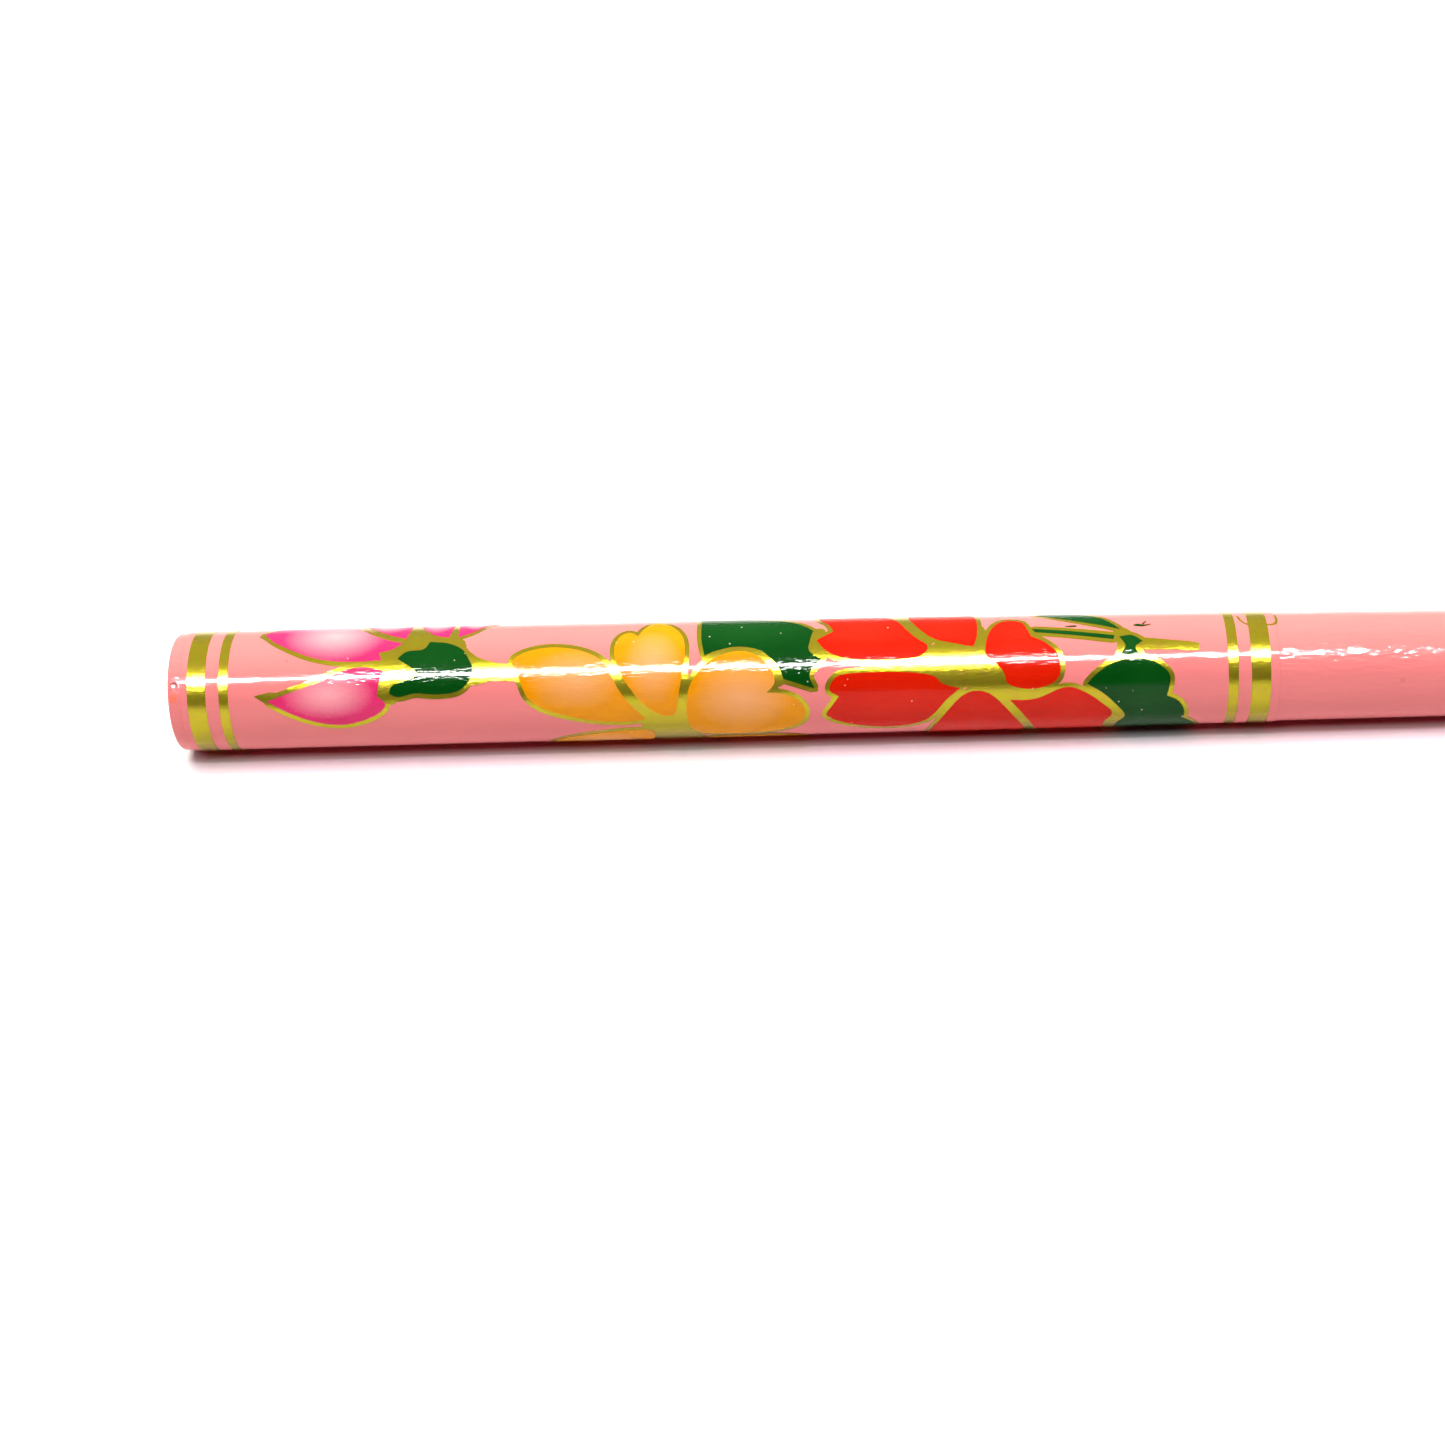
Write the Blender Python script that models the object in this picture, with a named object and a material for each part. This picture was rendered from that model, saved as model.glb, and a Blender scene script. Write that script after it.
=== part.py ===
"""Lacquered wooden hair stick with a transfer-printed flower spray at its head end.

Metres, +Z up. The stick lies along X on the plane z = 0, with its blunt head at -X and its tip at +X.
Every layer is a separate closed solid: the turned core, the lacquer coat, the clear transfer film, four foil
bands, one foil line-work sheet and the ink patches on it.
"""
import math

import bmesh
import bpy
from mathutils import Vector
from mathutils.geometry import delaunay_2d_cdt

MM = 0.001

# Overall form of the lacquered stick
STICK_LENGTH = 180 * MM
HEAD_RADIUS = 3.95 * MM
TAPER_PER_METRE = 0.00264
TAPER_PER_METRE_SQUARED = 0.0409
NOSE_LENGTH = 5 * MM
HEAD_ROUNDING = 0.35 * MM
ROUNDING_STEPS = 3
NOSE_STEPS = 6
TIP_SPOT_RADIUS = 0.5 * MM

# Layers, from the wood outwards
COAT = 0.15 * MM
CORE_GAP = 0.03 * MM
LAYER_GAP = 0.02 * MM
FILM = 0.03 * MM
FOIL = 0.03 * MM
INK = 0.03 * MM
BAND = 0.09 * MM
FILM_BASE = LAYER_GAP
FOIL_BASE = FILM_BASE + FILM + LAYER_GAP
INK_BASE = FOIL_BASE + FOIL + LAYER_GAP
PRINT_RISE = FOIL_BASE + BAND

# Facets: one of them faces straight down, so the stick lies flat
SIDES = 24
FACET = math.tau / SIDES
BODY_STEP = 20 * MM

# The print is laid out flat in millimetres, along the stick and around it, and then wrapped
PRINT_RADIUS = 3.7
PRINT_FACING = math.radians(52)
OUTLINE_WIDTH = 0.3
CURVE_STEPS = 2
FILM_START = 0.9 * MM
FILM_END = 74.0 * MM
BANDS = {
    "band_head_wide": (1.40, 2.65),
    "band_head_narrow": (3.53, 4.18),
    "band_neck_narrow": (70.62, 71.29),
    "band_neck_wide": (72.13, 73.40),
}

WOOD = ("wood_core", (0.62, 0.42, 0.24), 0.6, 0.0)
LACQUER = ("pink_lacquer", (0.86, 0.29, 0.27), 0.12, 0.0)
CLEAR_FILM = ("clear_film", (0.88, 0.30, 0.28), 0.1, 0.0)
GOLD = ("gold_foil", (0.60, 0.50, 0.06), 0.25, 1.0)
MAGENTA = ("magenta_ink", (0.83, 0.05, 0.19), 0.15, 0.0)
YELLOW = ("yellow_ink", (0.87, 0.42, 0.02), 0.15, 0.0)
RED = ("red_ink", (0.78, 0.02, 0.01), 0.15, 0.0)
GREEN = ("green_ink", (0.01, 0.16, 0.03), 0.15, 0.0)

# Ink patches: outlines as (along, around) points. A point given as a corner keeps its angle.
PETALS = [
    ("magenta_petal_low", MAGENTA, [
        (6.8, -0.75, "corner"), (8.0, -0.35), (9.3, 0.05), (10.6, 0.5), (11.8, 1.0), (13.2, 1.25),
        (14.75, 1.0, "corner"), (14.4, 0.3), (14.2, -0.6, "corner"), (14.75, -1.1), (14.2, -1.7), (13.0, -2.2),
        (11.6, -2.45), (10.0, -2.2), (8.3, -1.55)]),
    ("magenta_petal_high", MAGENTA, [
        (6.3, 4.2, "corner"), (7.0, 3.4), (8.2, 2.65), (9.6, 2.05), (11.2, 1.7), (13.0, 1.62),
        (14.55, 1.7, "corner"), (14.3, 2.2, "corner"), (15.2, 2.45), (15.85, 2.95, "corner"), (14.8, 3.25),
        (13.6, 3.9), (12.7, 4.8), (11.8, 5.9), (10.2, 6.4), (8.4, 6.0), (7.1, 5.1)]),
    ("magenta_petal_top_left", MAGENTA, [
        (16.05, 3.35, "corner"), (15.0, 3.75), (14.0, 4.4), (13.2, 5.4), (12.9, 6.6), (13.6, 7.6), (14.8, 7.8),
        (15.8, 7.0), (16.2, 5.8), (16.25, 4.5)]),
    ("magenta_petal_top_mid", MAGENTA, [
        (18.95, 3.4, "corner"), (18.1, 3.6), (17.4, 4.2), (16.95, 5.0), (16.8, 6.2), (17.2, 7.5), (18.2, 8.0),
        (18.9, 7.2), (19.1, 5.8), (19.1, 4.5)]),
    ("magenta_petal_top_right", MAGENTA, [
        (19.6, 3.4, "corner"), (19.5, 4.5), (19.55, 5.8), (20.1, 6.9), (21.2, 7.2), (21.9, 6.3), (21.4, 5.1),
        (20.6, 4.0)]),
    ("yellow_petal_left", YELLOW, [
        (23.35, 1.45), (24.2, 2.0), (25.6, 2.3), (27.2, 2.2), (28.6, 1.75), (29.6, 1.05), (29.95, 0.3),
        (30.5, -0.7), (31.3, -1.75), (32.1, -2.6, "corner"), (30.6, -2.8), (28.8, -2.65), (27.0, -2.25),
        (25.3, -1.65), (24.3, -0.9), (23.85, 0.1), (23.5, 0.8)]),
    ("yellow_petal_top", YELLOW, [
        (30.15, 1.6), (30.2, 2.5), (30.6, 3.2), (31.15, 3.45), (31.7, 3.1, "corner"), (32.1, 3.9), (32.7, 4.6),
        (33.3, 4.6), (34.1, 3.9), (34.7, 2.9), (34.85, 1.8), (34.7, 0.6), (34.4, -0.8), (34.15, -2.1),
        (33.6, -2.4), (32.9, -2.2), (31.9, -1.4), (31.1, -0.4), (30.45, 0.6)]),
    ("yellow_petal_right", YELLOW, [
        (35.3, -0.1), (36.2, 0.95), (37.5, 1.6), (38.7, 1.75), (39.8, 1.35), (40.6, 0.5), (40.75, -0.35),
        (40.2, -0.95, "corner"), (41.3, -1.05), (42.3, -1.5), (42.75, -2.3), (42.4, -3.2), (41.3, -3.9),
        (39.8, -4.3), (38.0, -4.45), (36.4, -4.35), (35.4, -3.9), (34.9, -3.0), (34.85, -1.8), (35.0, -0.8)]),
    ("yellow_petal_low_left", YELLOW, [
        (32.35, -3.75), (31.0, -3.65), (29.2, -3.85), (27.4, -4.2), (26.0, -4.8), (25.6, -5.8), (26.4, -6.9),
        (28.2, -7.5), (30.2, -7.1), (31.8, -6.0), (32.5, -4.8)]),
    ("yellow_petal_low_right", YELLOW, [
        (36.2, -5.2), (37.8, -5.0), (39.6, -4.9), (41.4, -5.0), (42.6, -5.6), (42.6, -6.6), (41.4, -7.4),
        (39.6, -7.6), (37.8, -7.1), (36.4, -6.2)]),
    ("yellow_petal_bottom", YELLOW, [
        (33.4, -6.1), (32.6, -6.9), (32.3, -8.0), (33.0, -9.1), (34.2, -9.3), (35.4, -8.7), (35.8, -7.6),
        (35.2, -6.6), (34.4, -6.1)]),
    ("red_petal_high_left", RED, [
        (43.9, 5.4), (43.95, 4.6), (44.4, 4.0), (44.75, 3.2, "corner"), (43.6, 2.45, "corner"), (44.3, 1.6),
        (45.6, 1.1), (47.4, 0.95), (49.4, 1.0), (50.5, 1.2), (50.95, 1.85), (50.2, 2.5), (49.55, 3.3),
        (48.95, 4.35), (48.1, 5.3), (46.7, 6.1), (44.9, 6.3)]),
    ("red_petal_high_mid", RED, [
        (53.95, 1.75, "corner"), (52.6, 2.05), (51.4, 2.4), (50.6, 3.1), (50.0, 4.1), (49.75, 5.3), (50.0, 6.6),
        (51.0, 7.6), (52.3, 7.5), (53.4, 6.5), (54.1, 5.1), (54.3, 3.6), (54.2, 2.4)]),
    ("red_petal_right", RED, [
        (54.75, 1.2), (54.85, 2.2), (55.2, 3.1), (55.8, 3.85), (56.5, 4.05), (57.25, 3.8), (57.6, 3.0),
        (57.8, 2.45, "corner"), (58.7, 1.95), (59.45, 1.2), (59.65, 0.3), (59.4, -0.5), (58.6, -0.95),
        (57.4, -1.1), (56.2, -0.75), (55.9, 0.0), (55.3, 0.7)]),
    ("red_petal_left", RED, [
        (45.3, 0.1), (44.6, -0.3), (44.4, -0.9), (45.0, -1.3, "corner"), (44.5, -2.0), (44.15, -2.65),
        (44.9, -3.2), (46.2, -3.7), (47.8, -4.0), (49.3, -3.9), (50.6, -3.4), (51.4, -2.6), (52.1, -1.7),
        (53.0, -0.95, "corner"), (51.9, -0.65), (51.2, -0.1), (49.5, 0.15), (47.3, 0.2)]),
    ("red_petal_low_mid", RED, [
        (54.0, -1.15), (53.1, -1.5), (52.3, -2.4), (51.6, -3.5), (51.1, -4.6), (50.9, -6.0), (51.3, -7.4),
        (52.6, -8.2), (54.4, -8.3), (56.2, -7.7), (57.2, -6.5), (57.3, -5.0), (56.9, -3.8), (56.0, -2.4),
        (55.0, -1.4)]),
    ("red_petal_low_right", RED, [
        (56.3, -1.85, "corner"), (58.0, -1.8), (59.9, -1.05), (61.2, -1.4), (62.3, -2.2), (63.05, -3.1),
        (62.6, -4.0, "corner"), (62.5, -5.0), (62.8, -6.2), (62.1, -7.3), (60.4, -7.6), (58.9, -6.9),
        (58.2, -5.6), (57.8, -4.2), (57.1, -2.9)]),
]
LEAVES = [
    ("leaf_calyx", GREEN, [
        (15.05, -0.45, "corner"), (15.25, 0.05), (16.0, 0.3), (16.9, 0.8), (15.6, 1.75, "corner"), (16.2, 2.25),
        (17.3, 2.4), (17.7, 3.0, "corner"), (18.9, 2.85), (19.9, 2.35), (20.4, 1.6), (20.7, 0.95), (20.4, 0.2),
        (19.6, -0.4), (18.2, -0.55), (16.8, -0.45), (15.7, -0.65)]),
    ("leaf_between_blossoms", GREEN, [
        (35.95, 5.6), (35.9, 4.0), (35.95, 2.6), (36.15, 1.5, "corner"), (37.0, 1.85), (38.3, 2.1), (39.6, 1.88),
        (40.5, 1.27), (41.1, 0.55), (41.35, -0.1, "corner"), (43.4, -0.75, "corner"), (43.1, 0.2),
        (43.9, 1.1, "corner"), (43.1, 1.7), (43.2, 2.6), (43.4, 3.3, "corner"), (42.6, 4.0), (41.4, 4.7),
        (40.0, 5.1), (38.3, 5.6), (36.9, 6.1)]),
    ("leaf_neck", GREEN, [
        (61.35, -0.85, "corner"), (62.0, -0.2), (62.9, 0.4), (63.9, 0.72), (65.2, 0.7), (66.2, 0.25),
        (66.8, -0.5), (66.6, -1.8, "corner"), (67.4, -2.25), (67.8, -3.1), (67.75, -3.85, "corner"), (68.5, -4.7),
        (68.7, -5.7), (68.2, -6.8), (67.0, -7.6), (65.4, -7.8), (64.0, -7.0), (63.4, -5.8), (63.4, -4.5),
        (63.9, -3.4), (63.3, -2.4), (62.4, -1.5)]),
    ("stem_node", GREEN, [
        (63.6, 2.3, "corner"), (64.4, 2.4), (65.1, 1.95, "corner"), (64.6, 1.5), (64.9, 0.98, "corner"),
        (63.5, 0.98, "corner"), (63.95, 1.6)]),
    ("stem_line", GREEN, [
        (57.9, 3.1, "corner"), (60.5, 2.82), (63.3, 2.4, "corner"), (63.2, 2.12, "corner"), (60.5, 2.52),
        (58.1, 2.8, "corner")]),
    ("leaf_slender", GREEN, [
        (58.2, 5.1, "corner"), (59.4, 4.5), (60.6, 4.0), (61.8, 3.6), (63.7, 2.95, "corner"), (63.0, 3.75),
        (62.2, 4.5), (61.0, 5.1), (59.6, 5.4)]),
    ("leaf_back_head", GREEN, [
        (10.0, 8.9, "corner"), (12.0, 9.8), (14.5, 10.2), (17.0, 9.6, "corner"), (14.5, 9.0), (12.0, 8.5)]),
    ("leaf_back_mid", GREEN, [
        (40.0, -9.2, "corner"), (42.0, -8.6), (44.5, -8.6), (47.0, -9.6, "corner"), (44.5, -10.4), (42.0, -10.2)]),
    ("leaf_back_neck", GREEN, [
        (56.0, 8.7, "corner"), (58.0, 9.4), (60.4, 9.4), (62.8, 8.6, "corner"), (60.4, 8.0), (58.0, 8.0)]),
]
# Foil that shows by itself: flower hearts, stems and the ground behind the calyx
FOIL_SHAPES = [
    [(14.2, 2.2), (15.4, 3.2), (16.3, 3.6), (17.6, 3.4), (19.4, 3.4), (20.2, 2.6), (19.8, 0.0), (16.0, 0.0),
     (14.6, 0.0), (14.2, 1.2)],
    [(15.9, 3.4), (16.1, 4.6), (16.0, 6.2), (17.0, 6.2), (17.2, 4.8), (17.9, 3.9), (17.9, 3.3)],
    [(19.0, 3.2), (19.0, 4.8), (19.6, 4.8), (19.8, 3.2)],
    [(14.3, 0.4), (14.2, -0.6), (14.7, -1.2), (15.5, -1.0), (15.7, -0.4), (15.2, 0.2)],
    [(19.8, 2.6), (20.9, 1.8), (22.2, 1.35), (23.6, 1.1), (23.9, 0.2), (22.0, 0.2), (20.4, 0.1)],
    [(5.9, -0.4, "corner"), (7.4, -0.2), (7.4, -1.2)],
    [(5.9, 4.0, "corner"), (6.9, 4.4), (7.1, 3.1)],
    [(31.9, -2.4), (34.6, -2.4), (35.4, -4.3), (36.2, -5.0), (35.5, -6.3), (33.6, -6.3), (32.2, -4.6),
     (31.8, -3.3)],
    [(29.9, 0.9), (30.3, 0.6), (31.2, -0.7), (32.3, -1.9), (33.3, -2.6), (32.2, -2.9), (31.3, -1.9),
     (30.5, -0.8)],
    [(34.7, 0.7), (35.1, 0.2), (34.95, -1.5), (35.1, -3.0), (34.2, -2.8), (34.3, -1.6)],
    [(40.5, 0.9), (41.2, 0.6), (41.5, 0.0), (41.3, -0.5), (40.6, -0.5)],
    [(43.0, 1.6), (43.2, 2.6), (43.5, 3.5), (44.2, 3.4), (44.0, 2.4), (44.4, 1.7), (44.1, 1.0)],
    [(46.6, 0.95), (48.5, 0.85), (50.6, 1.0), (50.8, 0.3), (48.6, 0.3), (46.8, 0.4)],
    [(50.9, 1.9), (50.0, 3.0), (49.0, 4.4), (48.1, 5.6), (47.9, 6.6), (49.7, 6.7), (49.9, 5.0), (50.6, 3.2),
     (51.5, 2.4)],
    [(53.9, 1.8), (54.2, 3.4), (54.7, 3.4), (54.9, 2.4), (54.8, 1.3)],
    [(53.2, -1.1), (52.0, -2.3), (51.2, -3.6), (50.8, -4.9), (50.7, -6.0), (50.9, -6.0), (51.2, -4.6),
     (52.4, -2.4), (53.4, -1.3)],
    [(55.2, -1.4), (56.4, -2.9), (57.1, -4.2), (57.5, -5.6), (57.6, -7.0), (58.3, -6.8), (57.9, -5.3),
     (57.5, -4.0), (56.9, -2.9), (56.2, -1.9)],
    [(56.0, -0.9), (57.6, -1.3), (59.2, -1.0), (59.9, -0.9), (58.4, -1.7), (56.3, -1.8)],
    [(61.3, -1.1), (62.5, -1.9), (63.5, -2.9), (63.7, -3.8), (63.2, -5.0), (63.3, -6.6), (62.7, -6.5),
     (62.6, -5.0), (62.7, -4.0), (62.9, -3.1)],
    [(50.6, 0.3), (51.0, 1.8), (52.5, 2.2), (54.2, 2.0), (55.0, 1.2), (56.0, 0.2), (56.6, -0.8), (56.5, -2.0),
     (54.9, -1.3), (54.0, -1.0), (52.8, -0.8), (51.0, -0.3)],
    [(64.6, 2.2), (66.5, 2.05), (68.6, 1.78), (68.75, 1.5), (68.6, 1.22), (66.8, 1.3), (64.6, 1.4)],
    [(63.1, 3.2), (63.8, 3.2), (64.6, 2.4), (64.6, 0.6), (63.5, 0.6), (63.4, 2.2)],
    [(14.1, 7.6), (13.6, 9.1), (14.0, 9.1), (14.5, 7.6)],
    [(40.3, -7.3), (41.4, -9.0), (41.9, -8.9), (40.9, -7.3)],
    [(52.0, 7.4), (56.6, 8.8), (56.8, 8.4), (52.4, 7.1)],
]


def clear_scene():
    for item in list(bpy.data.objects):
        bpy.data.objects.remove(item, do_unlink=True)


def finish_colour(look):
    """One Principled material per finish, shared by the pieces that carry it."""
    name, colour, roughness, metallic = look
    material = bpy.data.materials.get(name)
    if material is None:
        material = bpy.data.materials.new(name)
        material.use_nodes = True
        shader = material.node_tree.nodes["Principled BSDF"]
        shader.inputs["Base Color"].default_value = (*colour, 1.0)
        shader.inputs["Roughness"].default_value = roughness
        shader.inputs["Metallic"].default_value = metallic
    return material


def add_piece(name, mesh_data, look):
    """Turns a finished bmesh into a named object with its material."""
    bmesh.ops.recalc_face_normals(mesh_data, faces=mesh_data.faces)
    mesh = bpy.data.meshes.new(name)
    mesh_data.to_mesh(mesh)
    mesh_data.free()
    mesh.materials.append(finish_colour(look))
    mesh.shade_smooth()
    mesh.set_sharp_from_angle(angle=math.radians(40))
    piece = bpy.data.objects.new(name, mesh)
    bpy.context.scene.collection.objects.link(piece)
    return piece


def body_radius(along):
    """Outer radius of the lacquer, a slow convex taper from head to tip."""
    return HEAD_RADIUS - TAPER_PER_METRE * along - TAPER_PER_METRE_SQUARED * along**2


def centre_height(along):
    """The lower line of the stick lies straight on z = 0, proud of it only by the print's own thickness."""
    return body_radius(along) + PRINT_RISE


def nose_factor(along):
    """1 on the shaft, falling to 0 along the elliptical nose."""
    past = max(0.0, along - (STICK_LENGTH - NOSE_LENGTH)) / NOSE_LENGTH
    return math.sqrt(max(0.0, 1 - past**2))


def spot_station():
    """Where the nose has narrowed to the bare spot at the tip."""
    start = STICK_LENGTH - NOSE_LENGTH
    share = TIP_SPOT_RADIUS / body_radius(STICK_LENGTH)
    return start + NOSE_LENGTH * math.sqrt(1 - share**2)


TIP_STATION = spot_station()
HEAD_X = -TIP_STATION / 2


def ring_point(along, radius, side):
    """Corner number `side` of the faceted ring whose facets touch the true circle."""
    angle = (side + 0.5) * FACET
    reach = radius / math.cos(FACET / 2)
    return Vector((HEAD_X + along, -reach * math.sin(angle), centre_height(along) + reach * math.cos(angle)))


def turned(profile, closed):
    """A faceted solid of revolution. Radius 0 at either end closes the solid at a pole."""
    shape = bmesh.new()
    rings = []
    for along, radius in profile:
        if radius == 0:
            rings.append([shape.verts.new((HEAD_X + along, 0, centre_height(along)))])
        else:
            rings.append([shape.verts.new(ring_point(along, radius, side)) for side in range(SIDES)])
    pairs = list(zip(rings, rings[1:]))
    if closed:
        pairs.append((rings[-1], rings[0]))
    for near, far in pairs:
        for side in range(SIDES):
            after = (side + 1) % SIDES
            loop = [near[side % len(near)], near[after % len(near)], far[after % len(far)], far[side % len(far)]]
            corners = list(dict.fromkeys(loop))
            shape.faces.new(corners)
    return shape


def shaft_stations(start, end):
    count = max(1, round((end - start) / BODY_STEP))
    return [start + (end - start) * step / count for step in range(count + 1)]


def rounded_head(inset):
    """Quarter-round head edge, from the face outwards, for a surface `inset` below the lacquer's own."""
    rounding = HEAD_ROUNDING - inset
    points = []
    for step in range(ROUNDING_STEPS + 1):
        angle = math.pi / 2 * step / ROUNDING_STEPS
        along = HEAD_ROUNDING - rounding * math.cos(angle)
        radius = body_radius(HEAD_ROUNDING) - HEAD_ROUNDING + rounding * math.sin(angle)
        points.append((along, radius))
    return points


def nose_points(inset, end):
    """Elliptical nose down to station `end`, for a surface `inset` below the lacquer's own."""
    start = STICK_LENGTH - NOSE_LENGTH
    points = []
    for step in range(1, NOSE_STEPS + 1):
        along = start + (end - start) * math.sin(math.pi / 2 * step / NOSE_STEPS)
        radius = body_radius(along) * nose_factor(along) - inset
        points.append((along, radius))
    return points


def skin_profile(inset, end):
    """Outline of the stick from the head face to the nose, `inset` below the lacquer's surface."""
    shaft = [(along, body_radius(along) - inset)
             for along in shaft_stations(HEAD_ROUNDING, STICK_LENGTH - NOSE_LENGTH)]
    return [(inset, 0), *rounded_head(inset), *shaft[1:], *nose_points(inset, end)]


def build_core():
    depth = COAT + CORE_GAP
    end = TIP_STATION - 2 * depth
    add_piece("wood_core", turned([*skin_profile(depth, end), (end, 0)], closed=False), WOOD)


def build_lacquer():
    """A skin over head, shaft and nose, open over a small bare spot at the tip."""
    outside = skin_profile(0, TIP_STATION)
    inside = skin_profile(COAT, TIP_STATION - COAT)
    add_piece("lacquer_coat", turned([*outside, *reversed(inside)], closed=False), LACQUER)


def sleeve(name, start, end, low, high, look):
    """A thin tube around the shaft between two heights above the lacquer."""
    stations = shaft_stations(start, end)
    outside = [(along, body_radius(along) + high) for along in stations]
    inside = [(along, body_radius(along) + low) for along in reversed(stations)]
    add_piece(name, turned([*outside, *inside], closed=True), look)


def smooth_outline(points, steps):
    """Closed curve through the points. A corner counts twice, which keeps its angle."""
    knots = []
    for point in points:
        place = Vector(point[:2])
        knots.extend([place] * (2 if "corner" in point else 1))
    outline = []
    for number, start in enumerate(knots):
        before = knots[number - 1]
        end = knots[(number + 1) % len(knots)]
        after = knots[(number + 2) % len(knots)]
        if start == end:
            continue
        for step in range(steps):
            t = step / steps
            outline.append(0.5 * (2 * start + (end - before) * t + (2 * before - 5 * start + 4 * end - after) * t**2
                                  + (3 * start - before - 3 * end + after) * t**3))
    return outline


def signed_area(outline):
    return sum(a.x * b.y - b.x * a.y for a, b in zip(outline, outline[1:] + outline[:1])) / 2


def distance_to_outline(point, outline):
    best = math.inf
    for a, b in zip(outline, outline[1:] + outline[:1]):
        edge = b - a
        share = max(0.0, min(1.0, (point - a).dot(edge) / edge.length_squared))
        best = min(best, (point - a - share * edge).length)
    return best


def widened(outline, width):
    """The outline moved outwards by `width`, without the loops that would form in narrow notches."""
    turn = 1 if signed_area(outline) > 0 else -1
    moved = []
    for number, here in enumerate(outline):
        before = outline[number - 1]
        after = outline[(number + 1) % len(outline)]
        tangent = (here - before).normalized() + (after - here).normalized()
        normal = turn * Vector((tangent.y, -tangent.x)).normalized()
        place = here + width * normal
        if distance_to_outline(place, outline) > 0.9 * width:
            moved.append(place)
    return moved


def wrapped(flat_point, rise):
    """A point of the flat print, in millimetres, on the facets of the stick at `rise` above the lacquer."""
    along = flat_point.x * MM
    angle = PRINT_FACING - flat_point.y / PRINT_RADIUS
    from_facet_middle = angle - FACET * round(angle / FACET)
    reach = (body_radius(along) + rise) / math.cos(from_facet_middle)
    return Vector((HEAD_X + along, -reach * math.sin(angle), centre_height(along) + reach * math.cos(angle)))


def facet_lines(outlines):
    """Straight lines along the print wherever the stick's facets meet, across all the outlines."""
    low = min(point.y for outline in outlines for point in outline) - 1
    high = max(point.y for outline in outlines for point in outline) + 1
    near = min(point.x for outline in outlines for point in outline) - 1
    far = max(point.x for outline in outlines for point in outline) + 1
    lines = []
    for side in range(-SIDES, SIDES):
        around = (PRINT_FACING - (side + 0.5) * FACET) * PRINT_RADIUS
        if low < around < high:
            lines.append((Vector((near, around)), Vector((far, around))))
    return lines


def patch(name, outlines, base, thickness, look):
    """One thin solid on the stick: the union of the flat outlines, wrapped and given a thickness."""
    points = []
    faces = []
    for outline in outlines:
        ordered = outline if signed_area(outline) > 0 else outline[::-1]
        faces.append(list(range(len(points), len(points) + len(ordered))))
        points.extend(ordered)
    edges = []
    for start, end in facet_lines(outlines):
        edges.append((len(points), len(points) + 1))
        points.extend([start, end])
    flat_points, _, triangles, _, _, owners = delaunay_2d_cdt(points, edges, faces, 0, 1e-4, True)
    shape = bmesh.new()
    skins = [[shape.verts.new(wrapped(point, rise)) for point in flat_points]
             for rise in (base, base + thickness)]
    border = {}
    for triangle, owner in zip(triangles, owners):
        if not owner:
            continue
        shape.faces.new([skins[1][corner] for corner in triangle])
        shape.faces.new([skins[0][corner] for corner in reversed(triangle)])
        for start, end in zip(triangle, triangle[1:] + triangle[:1]):
            if (end, start) in border:
                del border[(end, start)]
            else:
                border[(start, end)] = True
    for start, end in border:
        shape.faces.new([skins[1][end], skins[1][start], skins[0][start], skins[0][end]])
    unused = [vert for vert in shape.verts if not vert.link_faces]
    bmesh.ops.delete(shape, geom=unused, context="VERTS")
    add_piece(name, shape, look)


def build_bands():
    for name, (start, end) in BANDS.items():
        sleeve(name, start * MM, end * MM, FOIL_BASE, FOIL_BASE + BAND, GOLD)


def build_print():
    """Foil line work under every petal and leaf, and the ink patches on it."""
    foil = [[Vector(point[:2]) for point in shape] for shape in FOIL_SHAPES]
    for name, look, points in PETALS + LEAVES:
        outline = smooth_outline(points, CURVE_STEPS)
        foil.append(widened(outline, OUTLINE_WIDTH))
        patch(name, [outline], INK_BASE, INK, look)
    patch("foil_line_work", foil, FOIL_BASE, FOIL, GOLD)


def build():
    clear_scene()
    build_core()
    build_lacquer()
    sleeve("transfer_film", FILM_START, FILM_END, FILM_BASE, FILM_BASE + FILM, CLEAR_FILM)
    build_bands()
    build_print()


build()
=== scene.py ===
# %% [markdown]
# # A lacquered hair stick
#
# The stick is turned from one piece of wood, dipped in pink lacquer and then rolled against a transfer
# film. The film leaves four gold foil bands and a spray of flowers: first the foil line work, then
# patches of ink on it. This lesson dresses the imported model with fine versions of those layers, one after
# another.

import math

import bmesh
import bpy
from mathutils import Matrix, Vector, noise
from mathutils.geometry import delaunay_2d_cdt


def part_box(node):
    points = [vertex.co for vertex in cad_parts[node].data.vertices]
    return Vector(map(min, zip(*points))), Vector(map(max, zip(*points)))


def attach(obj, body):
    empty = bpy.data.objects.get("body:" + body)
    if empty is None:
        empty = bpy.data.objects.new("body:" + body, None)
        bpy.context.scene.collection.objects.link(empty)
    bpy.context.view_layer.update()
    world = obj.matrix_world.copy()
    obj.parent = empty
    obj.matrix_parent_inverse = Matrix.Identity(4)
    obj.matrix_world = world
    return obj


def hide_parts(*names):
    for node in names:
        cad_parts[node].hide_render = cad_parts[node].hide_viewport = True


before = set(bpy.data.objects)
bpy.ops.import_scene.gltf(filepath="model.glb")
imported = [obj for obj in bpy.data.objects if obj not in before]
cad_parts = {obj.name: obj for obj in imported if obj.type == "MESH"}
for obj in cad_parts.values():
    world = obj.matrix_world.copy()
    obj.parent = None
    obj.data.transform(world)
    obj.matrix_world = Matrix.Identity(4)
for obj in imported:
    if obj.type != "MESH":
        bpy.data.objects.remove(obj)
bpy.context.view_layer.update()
print("packed nodes:", len(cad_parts))

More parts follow.
